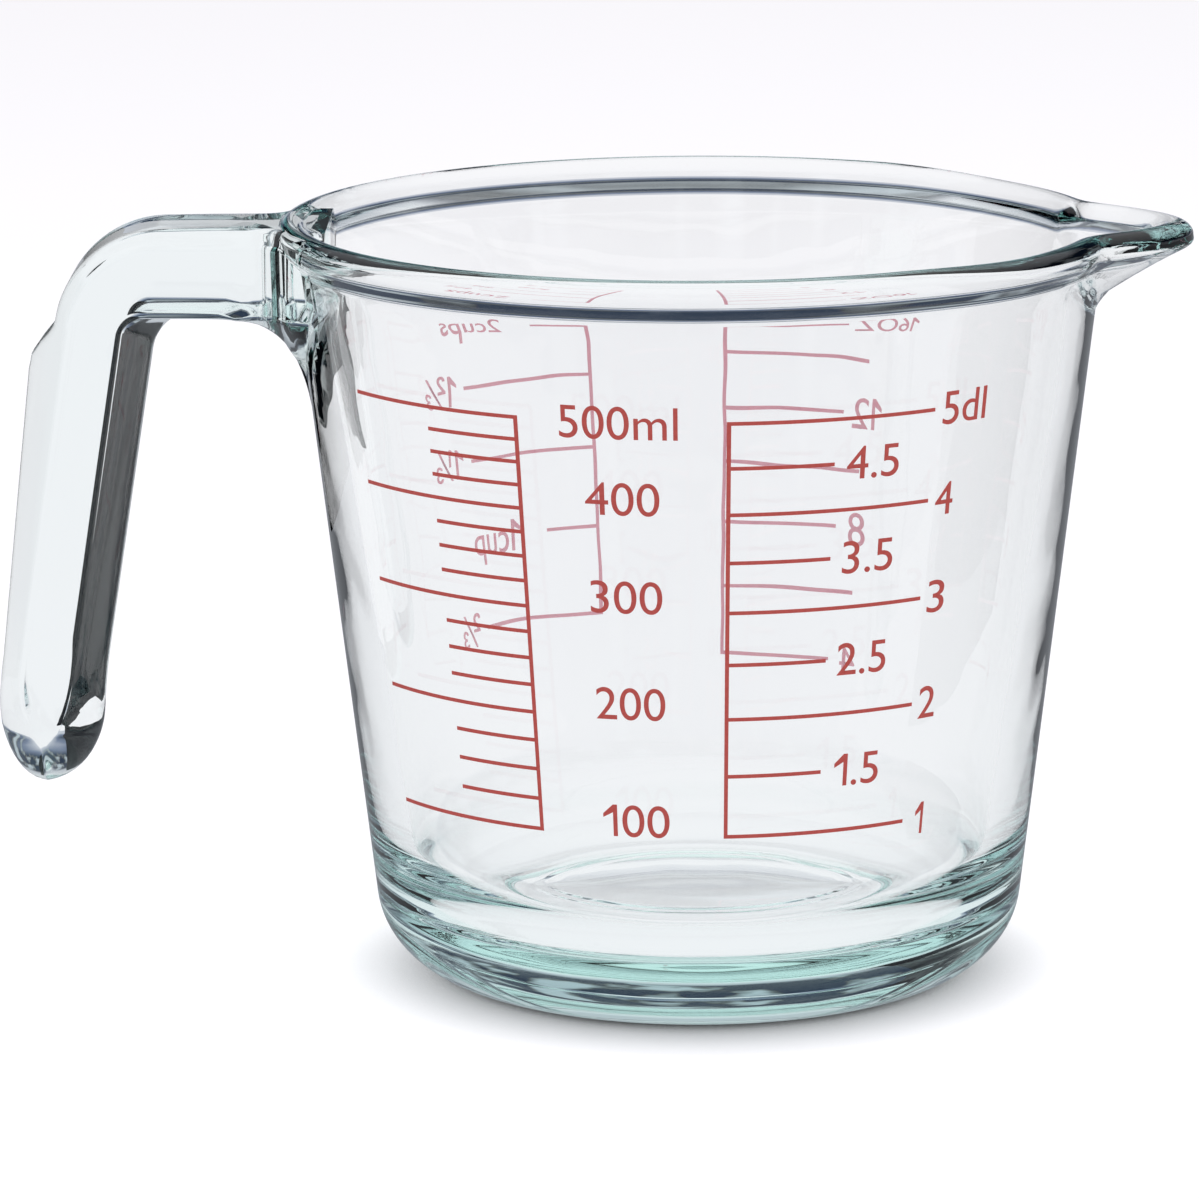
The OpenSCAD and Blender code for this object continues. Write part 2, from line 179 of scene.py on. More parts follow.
class StageSettings(bpy.types.PropertyGroup):
    """Floor and camera"""

    floor: colour("Floor", "Colour of the pale floor", "#F1F0F3")
    floor_through: colour("Floor through glass", "What glass shows of the floor", "#F9F8FB")
    floor_mirrored: colour("Floor on glass", "What the skin of the glass mirrors of the floor", "#94989E")
    floor_glow: colour("Floor lift", "What lifts the floor to white where it is looked at", "#6E6C70")
    camera_at: bpy.props.FloatVectorProperty(
        name="Camera", description="Where the camera stands", default=(0.0, -0.93357, 0.25251), subtype="TRANSLATION"
    )
    lens: bpy.props.FloatProperty(name="Lens", description="Focal length in millimetres", default=203.7)


def clamp(value, low, high):
    """The value, kept between a lowest and a highest one."""
    return max(low, min(high, value))


def gently(x):
    """A share of the way, from none to all, that starts and stops gently."""
    k = clamp(x, 0, 1)
    return k * k * (3 - 2 * k)


def soft_max(a, b, width):
    """The larger of two lengths, rounded off where they cross."""
    near = max(width - abs(a - b), 0) / width
    return max(a, b) + near * near * width / 4


def soft_ramp(x, width):
    """Nothing below zero and x above it, rounded off round zero."""
    if x <= -width:
        return 0.0
    if x >= width:
        return x
    return (x + width) ** 2 / (4 * width)


class Bowl:
    """The lines of the bowl's wall, shared by the glass and the prints."""

    slices = 60
    halvings = 30

    def __init__(self, sizes):
        self.s = sizes
        self.thin = (sizes.foot_t - sizes.rim_t) / sizes.height
        self.in_slope = math.tan(sizes.lean) + self.thin
        self.rim_r = (sizes.rim_t + sizes.bead) / 2
        self.crest_z = sizes.height - self.rim_r
        self.crest_out = self.out(self.crest_z) + sizes.bead
        self.crest_in = self.crest_out - 2 * self.rim_r

    def out(self, z):
        """Outside radius of the wall at a height."""
        return self.s.wall_r + z * math.tan(self.s.lean)

    def inside(self, z):
        """Inside radius of the wall at a height, without the corner over the floor."""
        return self.out(z) - self.s.foot_t + z * self.thin

    def bore(self, z):
        """Inside radius, with the rounded corner over the floor."""
        s = self.s
        in_lean = math.atan(self.in_slope)
        corner_z = s.floor_t + s.corner_r
        if z >= corner_z - s.corner_r * math.sin(in_lean):
            return self.inside(z)
        middle = self.inside(corner_z) - s.corner_r / math.cos(in_lean)
        return middle + math.sqrt(max(0, s.corner_r**2 - (corner_z - z) ** 2))

    def volume(self, z):
        """Cubic metres that the bowl holds up to a height."""
        s = self.s
        dz = (z - s.floor_t) / self.slices
        middles = [s.floor_t + (i + 0.5) * dz for i in range(self.slices)]
        disc = math.pi * s.pad_h * (s.pad_r + s.pad_slope / 2) ** 2
        return sum(math.pi * dz * self.bore(middle) ** 2 for middle in middles) - disc

    def level(self, millilitres):
        """Height of a filling, found by halving."""
        low, high = self.s.floor_t, self.s.height
        for _ in range(self.halvings):
            mid = (low + high) / 2
            low, high = (mid, high) if self.volume(mid) < millilitres * ML else (low, mid)
        return low


def add_mesh(name, bm, material):
    """An object at the origin that holds a finished mesh."""
    mesh = bpy.data.meshes.new(name)
    bm.to_mesh(mesh)
    bm.free()
    mesh.materials.append(material)
    made = bpy.data.objects.new(name, mesh)
    bpy.context.scene.collection.objects.link(made)
    return made


def add_piece(name, bm, material):
    """A finished piece, riding on the jug's body."""
    piece = add_mesh(name, bm, material)
    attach(piece, BODY)
    return piece


def close_mesh(bm):
    """Merges doubles, and points every face outwards."""
    bmesh.ops.remove_doubles(bm, verts=bm.verts, dist=0.002 * MM)
    bmesh.ops.recalc_face_normals(bm, faces=bm.faces)


def add_node(tree, kind, inputs=None, links=None, **settings):
    """Adds a node with its settings, the values of its sockets and the links into it."""
    made = tree.nodes.new(kind)
    for key, value in settings.items():
        setattr(made, key, value)
    for socket, value in (inputs or {}).items():
        made.inputs[socket].default_value = value
    for socket, source in (links or {}).items():
        tree.links.new(source, made.inputs[socket])
    return made


def new_material(name):
    """An empty material and its node tree."""
    material = bpy.data.materials.new(name)
    material.use_nodes = True
    material.node_tree.nodes.clear()
    return material, material.node_tree


def glass_material(finish):
    """Soda-lime glass, pressed in an iron mould and fire-polished."""
    # Pressed soda-lime glass: clear and glossy, green where light runs far through it, and a little
    # wavy, because the mould chills its skin unevenly before the flame smooths it.
    material, tree = new_material("Soda-lime glass, pressed and fire-polished")
    place = add_node(tree, "ShaderNodeTexCoord")
    wave_mm = 14.0
    waves = add_node(
        tree,
        "ShaderNodeTexNoise",
        {"Scale": 1 / (wave_mm * MM), "Detail": 1.0, "Roughness": 0.4},
        {"Vector": place.outputs["Object"]},
    )
    bump = add_node(
        tree, "ShaderNodeBump", {"Strength": 0.1, "Distance": 1.0 * MM}, {"Height": waves.outputs["Fac"]}
    )
    body = add_node(
        tree,
        "ShaderNodeBsdfPrincipled",
        {"Base Color": linear(WHITE), "Roughness": 0.0, "IOR": 1.52, "Transmission Weight": 1.0},
        {"Normal": bump.outputs["Normal"]},
    )
    depth = add_node(
        tree, "ShaderNodeVolumeAbsorption", {"Color": finish.glass_tint, "Density": finish.tint_depth}
    )
    # Clear glass lets most of the light through to what stands behind it, so its shadow is pale.
    path = add_node(tree, "ShaderNodeLightPath")
    clear = add_node(tree, "ShaderNodeBsdfTransparent", {"Color": finish.shadow_tint})
    both = add_node(
        tree,
        "ShaderNodeMixShader",
        links={0: path.outputs["Is Shadow Ray"], 1: body.outputs["BSDF"], 2: clear.outputs["BSDF"]},
    )
    add_node(
        tree,
        "ShaderNodeOutputMaterial",
        links={"Surface": both.outputs[0], "Volume": depth.outputs["Volume"]},
    )
    return material


def enamel_material(finish):
    """Red ceramic enamel, screen-printed and fired."""
    # Fired ceramic enamel: opaque, satin, with the faint mottle of ink laid through a mesh.
    material, tree = new_material("Ceramic enamel, screen-printed and fired")
    place = add_node(tree, "ShaderNodeTexCoord")
    # The mesh itself is too fine to show, so its mottle is drawn a few threads wide
    mottle_mm = 0.5
    mottle = add_node(
        tree,
        "ShaderNodeTexNoise",
        {"Scale": 1 / (mottle_mm * MM), "Detail": 3.0, "Roughness": 0.6},
        {"Vector": place.outputs["Object"]},
    )
    ink = add_node(tree, "ShaderNodeValToRGB", links={"Fac": mottle.outputs["Fac"]})
    thick, thin = ink.color_ramp.elements
    thick.position = 0.3
    thick.color = finish.enamel
    thin.position = 0.7
    thin.color = finish.thin_enamel
    # The underside faces the middle of the jug; its paler pink is painted light, standing for light that shines
    # through the thin enamel from outside the jug.
    facing = add_node(tree, "ShaderNodeNewGeometry")
    turned = add_node(
        tree,
        "ShaderNodeVectorMath",
        links={0: facing.outputs["True Normal"], 1: place.outputs["Object"]},
        operation="DOT_PRODUCT",
    )
    well_inside = -20 * MM
    backlit_underside = add_node(
        tree, "ShaderNodeMath", {1: well_inside}, {0: turned.outputs["Value"]}, operation="LESS_THAN"
    )
    shade = add_node(
        tree,
        "ShaderNodeMix",
        {7: finish.under_enamel_with_painted_backlight},
        {0: backlit_underside.outputs[0], 6: ink.outputs["Color"]},
        data_type="RGBA",
    )
    grain = add_node(
        tree, "ShaderNodeBump", {"Strength": 0.2, "Distance": 0.02 * MM}, {"Height": mottle.outputs["Fac"]}
    )
    body = add_node(
        tree,
        "ShaderNodeBsdfPrincipled",
        {"Roughness": 0.45, "IOR": 1.5},
        {"Base Color": shade.outputs[2], "Normal": grain.outputs["Normal"]},
    )
    add_node(tree, "ShaderNodeOutputMaterial", links={"Surface": body.outputs["BSDF"]})
    return material


def wire(bm, points):
    """A chain of edges through points of a section, as pairs of radius and height."""
    verts = [bm.verts.new((r, 0, z)) for r, z in points]
    for a, b in zip(verts, verts[1:]):
        bm.edges.new((a, b))
    return verts


def round_corner(bm, vert, offset, segments):
    """Rounds one corner of a section off, from a distance along each of its sides."""
    bmesh.ops.bevel(
        bm,
        geom=[vert],
        offset=offset,
        offset_type="OFFSET",
        affect="VERTICES",
        segments=segments,
        profile=0.5,
        material=-1,
    )


def spin_bowl(bm, bowl):
    """Spins the bowl's whole section, outside and inside, into one closed wall."""
    s = bowl.s
    heel_z = s.heel_r
    heel_x = bowl.out(heel_z) - s.heel_r / math.cos(s.lean)
    foot_in = heel_x - s.foot_w
    band_z = s.height - s.band_h
    slope_z = band_z - s.slope_h
    # Two fine rings break the slope round the floor's disc, at shares of its width and height
    rings = ((0.7, 0.5), (0.35, 0.4))
    points = [
        (0, s.hollow_d),
        (foot_in - s.hollow_d, s.hollow_d),
        (foot_in, 0),
        (bowl.out(0), 0),
        (bowl.out(slope_z), slope_z),
        (bowl.out(band_z) + s.bead, band_z),
        (bowl.crest_out, s.height),
        (bowl.crest_in, s.height),
        (bowl.inside(s.floor_t), s.floor_t),
        (s.pad_r + s.pad_slope, s.floor_t),
        *((s.pad_r + out * s.pad_slope, s.floor_t + up * s.pad_h) for out, up in rings),
        (s.pad_r, s.floor_t + s.pad_h),
        (0, s.floor_t + s.pad_h),
    ]
    verts = wire(bm, points)
    quarter = math.pi / 2
    in_lean = math.atan(bowl.in_slope)
    soft = 0.8 * MM
    # The rim's two rounds nearly meet on its crest
    crest = 0.98 * bowl.rim_r
    rounds = {
        1: (soft, 3),
        2: (soft, 3),
        3: (s.heel_r / math.tan((quarter + s.lean) / 2), 20),
        4: (soft, 4),
        5: (soft, 4),
        6: (crest, 10),
        7: (crest, 10),
        8: (s.corner_r / math.tan((quarter + in_lean) / 2), 20),
        9: (soft, 4),
        10: (soft / 2, 4),
        11: (soft / 2, 4),
        12: (soft, 4),
    }
    for i, (offset, segments) in rounds.items():
        round_corner(bm, verts[i], offset, segments)
    row = 2.2 * MM
    for edge in list(bm.edges):
        cuts = int(edge.calc_length() / row)
        if cuts:
            bmesh.ops.subdivide_edges(bm, edges=[edge], cuts=cuts)
    bmesh.ops.spin(
        bm,
        geom=list(bm.verts) + list(bm.edges),
        cent=(0, 0, 0),
        axis=(0, 0, 1),
        dvec=(0, 0, 0),
        angle=2 * math.pi,
        steps=ROUND_STEPS,
        use_merge=True,
        use_duplicate=False,
    )
    close_mesh(bm)


class Spout:
    """The spout's forms: the wall is drawn out by a bell curve in plan, over a keel."""

    keel_share = 0.35
    keel_soft = 0.06
    flank = 4.6
    opening = 8

    def __init__(self, bowl, sizes):
        self.bowl = bowl
        self.s = sizes
        self.lip_z = bowl.s.height - sizes.drop
        self.foot_z = self.lip_z - sizes.height

    def keel(self, z):
        """How far the keel has come out at a height, as a share."""
        k = (z - self.foot_z) / (self.s.height - self.s.shoulder)
        return 1 - soft_ramp(1 - soft_ramp(k, self.keel_soft), self.keel_soft)

    def bell(self, a, z):
        """How far the wall is drawn out at an angle, as a share."""
        wide = self.s.half_angle * (self.keel_share + (1 - self.keel_share) * clamp(self.keel(z), 0, 1))
        if abs(a) >= wide:
            return 0.0
        return math.cos(math.pi / 2 * a / wide) ** self.flank

    def outside(self, a, z):
        """Outside radius of the spout at an angle and a height."""
        s = self.s
        return self.bowl.out(z) - s.blend + (s.reach + s.blend) * self.keel(z) * self.bell(a, z)

    def channel(self, a, z):
        """Inside radius of the spout's channel at an angle and a height."""
        s = self.s
        low = z - s.rise
        keel = self.keel(low)
        start = self.bowl.out(z) - s.thickness - s.sink - s.blend
        return start + (s.reach * keel + s.sink + s.blend) * self.bell(a, low) * clamp(keel * self.opening, 0, 1)


def draw_spout(bm, spout):
    """Draws the wall out into the spout, row by row, and sinks the crest of the rim to its lip."""
    bowl, s = spout.bowl, spout.s
    crest_z, crest_out, crest_in = bowl.crest_z, bowl.crest_out, bowl.crest_in
    sink_over = 8 * MM
    lowest = spout.foot_z - 2 * MM
    for v in bm.verts:
        a = math.atan2(v.co.y, v.co.x)
        z = v.co.z
        if abs(a) > s.sink_angle or z < lowest:
            continue
        r = math.hypot(v.co.x, v.co.y)
        if z > crest_z:
            share = clamp((r - crest_in) / (crest_out - crest_in), 0, 1)
            out = soft_max(crest_out, spout.outside(a, crest_z), s.blend) - crest_out
            inn = soft_max(crest_in, spout.channel(a, crest_z), s.blend) - crest_in
            new = r + inn + (out - inn) * share
        elif r > (bowl.out(z) + bowl.inside(z)) / 2:
            new = soft_max(r, spout.outside(a, z), s.blend)
        else:
            new = soft_max(r, spout.channel(a, z), s.blend)
        near = gently((s.sink_angle - abs(a)) / (s.sink_angle - s.half_angle))
        fall = s.drop * near + s.dip * spout.bell(a, spout.lip_z)
        sunk = z - fall * gently(1 - (bowl.s.height - z) / sink_over)
        v.co = (new * math.cos(a), new * math.sin(a), sunk)


def rounding(d, length):
    """How wide a round end is at a distance from its tip, as a share."""
    return math.sqrt(1 - max(0, (length - d) / length) ** 2)


def arc(centre, radius, start, end, steps):
    """Points of an arc in the plane of the handle."""
    turns = [start + (end - start) * i / steps for i in range(steps + 1)]
    return [centre + radius * Vector((math.cos(t), math.sin(t))) for t in turns]


class Station:
    """A section of the handle: flat faces at both sides, and a crown outside and inside."""

    least_crown = 0.12

    def __init__(self, places, width, rounded=0.0):
        self.places = places
        self.width = width
        self.rounded = rounded

    def corners(self, out_slope, in_slope):
        """The section's eight corners, from the outer crown over one face to the inner crown and back."""
        out, high, low, inn = self.places
        w = self.width / 2
        rises = (((out - high).length, out_slope), ((inn - low).length, in_slope))
        out_w, inn_w = (max(self.least_crown * w, w - rise / math.tan(slope)) for rise, slope in rises)
        right = [(out, out_w), (high, w), (low, w), (inn, inn_w)]
        left = [(at, -y) for at, y in reversed(right)]
        return [Vector((at.x, y, at.y)) for at, y in right + left]

    def soften(self, p):
        """Moves a point of the section towards the ellipse that the free end closes to."""
        if not self.rounded:
            return p
        out, high, low, inn = self.places
        middle = Vector(((high.x + low.x) / 2, 0, p.z))
        reach = abs((out if p.x < middle.x else inn).x - middle.x)
        off = p - middle
        return p.lerp(middle + off / math.hypot(off.x / reach, 2 * off.y / self.width), self.rounded)


class HandlePlan:
    """The handle's stations, strung along both edges of its flat faces and along its inner crown."""

    web_steps = 14
    arm_steps = 12
    bend_steps = 18
    grip_steps = 18
    end_steps = 10
    crowding = 1.4
    tip_edge = 0.04

    def __init__(self, bowl, sizes):
        self.bowl = bowl
        self.s = sizes
        self.top_z = bowl.s.height - sizes.drop - sizes.arm_crown
        self.low_z = self.top_z - sizes.arm_face
        self.end_z = sizes.end_z + sizes.face_tip + sizes.face_end_l
        self.reach = sizes.reach - sizes.end_crown

    def bend(self, radius, z, reach):
        """The arc from a level line of the arm to a leaning line of the grip."""
        lean = self.s.lean
        x = (radius + (z - radius - self.end_z) * math.sin(lean)) / math.cos(lean) - reach
        return arc(Vector((x, z - radius)), radius, math.pi / 2, math.pi - lean, self.bend_steps)

    def web(self):
        """A quarter of an ellipse that is tangent to the wall and to the underside of the arm."""
        s, b = self.s, self.bowl.s
        z = self.low_z - s.web_h
        off = math.hypot(s.web_l * math.cos(b.lean), s.web_h * math.sin(b.lean))
        middle = Vector((-b.wall_r - (off + z * math.sin(b.lean)) / math.cos(b.lean), z))
        start = math.atan(math.tan(b.lean) * s.web_h / s.web_l)
        quarter = arc(Vector((0, 0)), 1, start, math.pi / 2, self.web_steps)
        return [middle + Vector((s.web_l * p.x, s.web_h * p.y)) for p in quarter]

    def rail(self, web, bend):
        """One line along the handle, from inside the wall to the grip's end."""
        z = self.low_z - self.s.web_h
        root = Vector((-(self.bowl.out(z) + self.bowl.inside(z)) / 2, web[0].y))
        arm = [web[-1].lerp(bend[0], i / self.arm_steps) for i in range(1, self.arm_steps)]
        last = bend[-1]
        shares = [(i / self.grip_steps) ** self.crowding for i in range(1, self.grip_steps + 1)]
        falls = [(last.y - self.end_z) * share for share in shares]
        grip = [last - Vector((fall * math.tan(self.s.lean), fall)) for fall in falls]
        return [root, *web, *arm, *bend, *grip]

    def stations(self):
        """All stations, from inside the wall to the tip of the free end."""
        s = self.s
        web = self.web()
        inside = self.reach - s.grip_face
        outer_bend = self.bend(s.bend_r, self.top_z, self.reach)
        inner_bend = self.bend(s.bend_in_r, self.low_z, inside)
        arch = self.bend(s.arch_r, self.low_z - s.arm_under, inside - s.finger_crown)
        outer = self.rail([Vector((p.x, self.top_z)) for p in web], outer_bend)
        inner = self.rail([Vector((p.x, self.low_z)) for p in web], inner_bend)
        crown = self.rail([p - Vector((0, s.arm_under)) for p in web], arch)
        buried = 1 * MM
        crown[0].y -= buried
        grip_top = outer_bend[-1].y
        found = []
        for high, low, inn in zip(outer, inner, crown):
            grip = clamp((grip_top - high.y) / (grip_top - self.end_z), 0, 1)
            rise = gently((grip_top - high.y) / s.crown_rise)
            lift = s.arm_crown + (s.grip_crown + (s.end_crown - s.grip_crown) * grip - s.arm_crown) * rise
            near = s.flare_r - clamp(-high.x - self.bowl.out(self.top_z), 0, s.flare_r)
            flare = s.flare_r - math.sqrt(s.flare_r**2 - near**2)
            width = s.width + 2 * flare + (s.end_width - s.width) * grip
            out = high + (high - low).normalized() * lift
            found.append(Station((out, high, low, inn), width))
        return found + [self.end_station(d) for d in self.end_places()]

    def end_places(self):
        """Distances above the free end's tip, closer together where it rounds off."""
        s = self.s
        # The last section stops just short of the tip, so that it keeps a little face to close with
        last = math.radians(89)
        turns = [math.sin(last * i / self.end_steps) for i in range(1, self.end_steps + 1)]
        return [s.face_tip + s.face_end_l * (1 - t) for t in turns] + [s.face_tip * (1 - t) for t in turns]

    def end_station(self, d):
        """The free end comes upright while its flat faces come to a point and its crowns close."""
        s = self.s
        gone = min(self.end_z - s.end_z - d, s.face_end_l)
        closing = rounding(d, s.end_l)
        leaning = 1 - math.tan(s.tip_slope) * max(0, s.face_tip - d) / (s.end_width / 2)
        narrowing = leaning * rounding(d, s.tip_r)
        face = s.grip_face * max(self.tip_edge * narrowing, rounding(max(0, d - s.face_tip), s.face_end_l))
        x = s.grip_face / 2 - self.reach - math.tan(s.lean) * (gone - gone**2 / (2 * s.face_end_l))
        half = max(face, s.grip_face * closing) / 2
        steps = (-half - s.end_crown * closing, -face / 2, face / 2, half + s.finger_crown * closing)
        fade_from, fade_over = s.face_tip + 5 * MM, 4 * MM
        rounded = gently((fade_from - d) / fade_over)
        return Station([Vector((x + step, s.end_z + d)) for step in steps], s.end_width * narrowing, rounded)


def fillet(before, corner, after, radius, share):
    """The point at a share of the way round a corner that is rounded as far as its sides leave room."""
    u, v = (before - corner), (after - corner)
    side_share = 0.45
    room = side_share * min(u.length, v.length)
    u.normalize()
    v.normalize()
    bend = math.pi - u.angle(v)
    used = min(radius * math.tan(bend / 2), room)
    middle = corner + (u + v).normalized() * used / math.sin(bend / 2)
    start, end = corner + u * used - middle, corner + v * used - middle
    return middle + start.slerp(end, share) * start.length


def ring_point(corners, i, share, radii):
    """A point of a section: round a corner up to a share of one, then along the side to the next corner."""

    def rounded(c, part):
        """The point at a share of the way round one corner."""
        following = corners[(c + 1) % len(corners)]
        return fillet(corners[c - 1], corners[c], following, radii[c % len(radii)], part)

    if share <= 1:
        return rounded(i, share)
    return rounded(i, 1).lerp(rounded((i + 1) % len(corners), 0), share - 1)


def loft_handle(bm, bowl, sizes):
    """Extrudes an eight-cornered section, rounded at its corners, from station to station."""
    shares = (0, 0.2, 0.4, 0.6, 0.8, 1, 1.2, 1.4, 1.6, 1.8)
    radii = (sizes.crown_r, sizes.edge_r, sizes.edge_r, sizes.crown_r)
    ring = [(corner, share) for corner in range(2 * len(radii)) for share in shares]
    turns = [2 * math.pi * i / len(ring) for i in range(len(ring))]
    face = bm.faces.new([bm.verts.new((math.cos(t), math.sin(t), 0)) for t in turns])
    corner_mark = bm.verts.layers.int.new("corner")
    share_mark = bm.verts.layers.float.new("share")
    for v, (corner, share) in zip(face.verts, ring):
        v[corner_mark], v[share_mark] = corner, share
    for n, station in enumerate(HandlePlan(bowl, sizes).stations()):
        if n:
            face = bmesh.ops.extrude_discrete_faces(bm, faces=[face])["faces"][0]
        corners = station.corners(sizes.out_slope, sizes.in_slope)
        for v in face.verts:
            v.co = station.soften(ring_point(corners, v[corner_mark], v[share_mark], radii))
    bmesh.ops.holes_fill(bm, edges=[e for e in bm.edges if e.is_boundary])
    close_mesh(bm)
    smooth_from, passes = sizes.end_z + sizes.face_tip + 1 * MM, 10
    tip = [v for v in bm.verts if v.co.z < smooth_from]
    for _ in range(passes):
        bmesh.ops.smooth_vert(bm, verts=tip, factor=0.5, use_axis_x=True, use_axis_y=True, use_axis_z=True)


class JUG_OT_press_glass(bpy.types.Operator):
    """Press the bowl, the spout and the handle as one glass moulding"""

    bl_idname = "jug.press_glass"
    bl_label = "Press Glass"

    def execute(self, context):
        scene = context.scene
        bowl = Bowl(scene.jug_bowl)
        bm = bmesh.new()
        spin_bowl(bm, bowl)
        draw_spout(bm, Spout(bowl, scene.jug_spout))
        jug = add_piece("pressed_glass_jug", bm, glass_material(scene.jug_finish))
        bm = bmesh.new()
        loft_handle(bm, bowl, scene.jug_handle)
        handle = add_piece("handle_blank", bm, jug.data.materials[0])
        join = jug.modifiers.new("Join handle", "BOOLEAN")
        join.operation = "UNION"
        join.solver = "EXACT"
        join.object = handle
        whole = bpy.data.meshes.new_from_object(jug.evaluated_get(context.evaluated_depsgraph_get()))
        jug.modifiers.clear()
        old = jug.data
        jug.data = whole
        whole.name = "pressed_glass_jug"
        bpy.data.objects.remove(handle)
        bpy.data.meshes.remove(old)
        whole.shade_smooth()
        crease = math.radians(70)
        whole.set_sharp_from_angle(angle=crease)
        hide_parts("glass_jug")
        return {"FINISHED"}


CUP_ML = 236.6
OUNCE_ML = CUP_ML / 8
# Angles that the marks take round the jug, in degrees
LONG_MARK, SHORT_MARK = 31, 15.3
LONG_KITCHEN_MARK, OUNCE_MARK, CUP_MARK = 25, 21, 10
# Each scale: the angle of its spine, then its marks, each with its millilitres and the angle that it takes
SCALES = {
    "millilitre_scale": (-116.2, [(v, -SHORT_MARK if v % 100 else -LONG_MARK) for v in range(100, 501, 25)]),
    "decilitre_scale": (-85.6, [(v, SHORT_MARK if v % 100 else LONG_MARK) for v in range(100, 501, 50)]),
    "cup_scale": (108.3, [(k * CUP_ML / 3, LONG_KITCHEN_MARK if k % 3 else CUP_MARK) for k in range(2, 7)]),
    "ounce_scale": (85.3, [(k * OUNCE_ML, -LONG_KITCHEN_MARK if k % 4 else -OUNCE_MARK) for k in range(4, 17, 2)]),
}


def lay_on_wall(bm, flat, bowl, sizes, start, end, low, high):
    """Wraps a flat print, one unit thick, onto the wall between two angles and two heights."""
    mesh = bpy.data.meshes.new("print")
    flat.to_mesh(mesh)
    flat.free()
    old = set(bm.verts)
    bm.from_mesh(mesh)
    bpy.data.meshes.remove(mesh)
    verts = [v for v in bm.verts if v not in old]
    first, last = ([pick(v.co[i] for v in verts) for i in (0, 1)] for pick in (min, max))
    for v in verts:
        across, up = ((v.co[i] - first[i]) / (last[i] - first[i]) for i in (0, 1))
        z = low + (high - low) * up
        a = math.radians(start + (end - start) * across)
        r = bowl.out(z) + (sizes.film_t if v.co.z > 0 else sizes.lift)
        v.co = (r * math.cos(a), r * math.sin(a), z)


def thicken(bm, faces, **options):
    """Extrudes the faces of a flat print by one unit."""
    front = bmesh.ops.extrude_face_region(bm, geom=faces, **options)["geom"]
    bmesh.ops.translate(bm, verts=[g for g in front if isinstance(g, bmesh.types.BMVert)], vec=(0, 0, 1))


def print_line(bm, bowl, sizes, start, end, low, high):
    """One printed line, cut into short lengths so that it follows the wall."""
    flat = bmesh.new()
    degrees_a_length = 1.0
    lengths = max(1, round((end - start) / degrees_a_length))
    bmesh.ops.create_grid(flat, x_segments=lengths, y_segments=1, size=0.5)
    bmesh.ops.translate(flat, verts=flat.verts, vec=(0, 0, -0.5))
    thicken(flat, list(flat.faces), use_keep_orig=True)
    lay_on_wall(bm, flat, bowl, sizes, start, end, low, high)


class JUG_OT_fire_scales(bpy.types.Operator):
    """Print the lines of the four scales and fire them onto the glass"""

    bl_idname = "jug.fire_scales"
    bl_label = "Fire Scale Lines"

    def execute(self, context):
        scene = context.scene
        sizes = scene.jug_print
        bowl = Bowl(scene.jug_bowl)
        enamel = enamel_material(scene.jug_finish)
        half = sizes.line_w / 2
        for name, (spine, marks) in SCALES.items():
            heights = [bowl.level(millilitres) for millilitres, _ in marks]
            half_spine = math.degrees(half / bowl.out(heights[0]))
            bm = bmesh.new()
            print_line(bm, bowl, sizes, spine - half_spine, spine + half_spine, heights[0] - half, heights[-1] + half)
            for z, (_, length) in zip(heights, marks):
                start, end = sorted((spine + math.copysign(half_spine, length), spine + length))
                print_line(bm, bowl, sizes, start, end, z - half, z + half)
            close_mesh(bm)
            lines = add_piece(name.replace("scale", "lines"), bm, enamel)
            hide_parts(name)
        return {"FINISHED"}


# Each figure: words, millilitres at its mark, angles round the jug where it starts and ends, and its rise in mm
FIGURES = {
    "millilitre_figures": [
        ("500ml", 500, -109.6, -92.7, 0),
        ("400", 400, -106.2, -95.4, 2.1),
        ("300", 300, -106.0, -95.2, 2.1),
        ("200", 200, -105.8, -95.0, 2.1),
        ("100", 100, -105.4, -94.6, 2.1),
    ],
    "decilitre_figures": [
        ("5dl", 500, -53.1, -45.0, 0),
        ("4", 400, -53.2, -50.0, 0),
        ("3", 300, -53.2, -50.0, 0),
        ("2", 200, -53.2, -50.0, 0),
        ("1", 100, -52.0, -50.4, 0),
        ("4.5", 450, -68.4, -60.2, 0),
        ("3.5", 350, -68.4, -60.2, 0),
        ("2.5", 250, -68.4, -60.2, 0),
        ("1.5", 150, -68.0, -60.2, 0),
    ],
    "cup_figures": [
        ("2cups", 2 * CUP_ML, 123.6, 137.0, 0),
        ("1⅔", CUP_ML * 5 / 3, 135.2, 143.0, 0),
        ("1⅓", CUP_ML * 4 / 3, 135.2, 143.0, 0),
        ("1cup", CUP_ML, 123.6, 134.6, 0),
        ("⅔", CUP_ML * 2 / 3, 135.2, 140.2, 0),
    ],
    "ounce_figures": [
        ("16OZ", 16 * OUNCE_ML, 51.0, 63.0, 0),
        ("12", 12 * OUNCE_ML, 56.8, 62.6, 0),
        ("8", 8 * OUNCE_ML, 58.6, 61.8, 0),
        ("4", 4 * OUNCE_ML, 58.6, 61.8, 0),
    ],
}


def flat_words(words):
    """A mesh of words in the plain built-in face, one unit thick, lying in XY."""
    text = bpy.data.curves.new("figure", "FONT")
    text.body = words
    text.extrude = 0.5
    holder = bpy.data.objects.new("figure", text)
    bpy.context.scene.collection.objects.link(holder)
    mesh = bpy.data.meshes.new_from_object(holder.evaluated_get(bpy.context.evaluated_depsgraph_get()))
    bpy.data.objects.remove(holder)
    bpy.data.curves.remove(text)
    return mesh


def add_one(bm):
    """A figure one with a flag, which the built-in face draws as a bare bar."""
    stem, high, flag = 0.085, 0.69, 0.2
    points = (
        (0, 0),
        (0, high),
        (-stem, high),
        (-stem - flag, high - flag),
        (-stem - flag, high - flag - stem),
        (-stem, high - 2 * stem),
        (-stem, 0),
    )
    thicken(bm, [bm.faces.new([bm.verts.new((x, y, -0.5)) for x, y in points])])


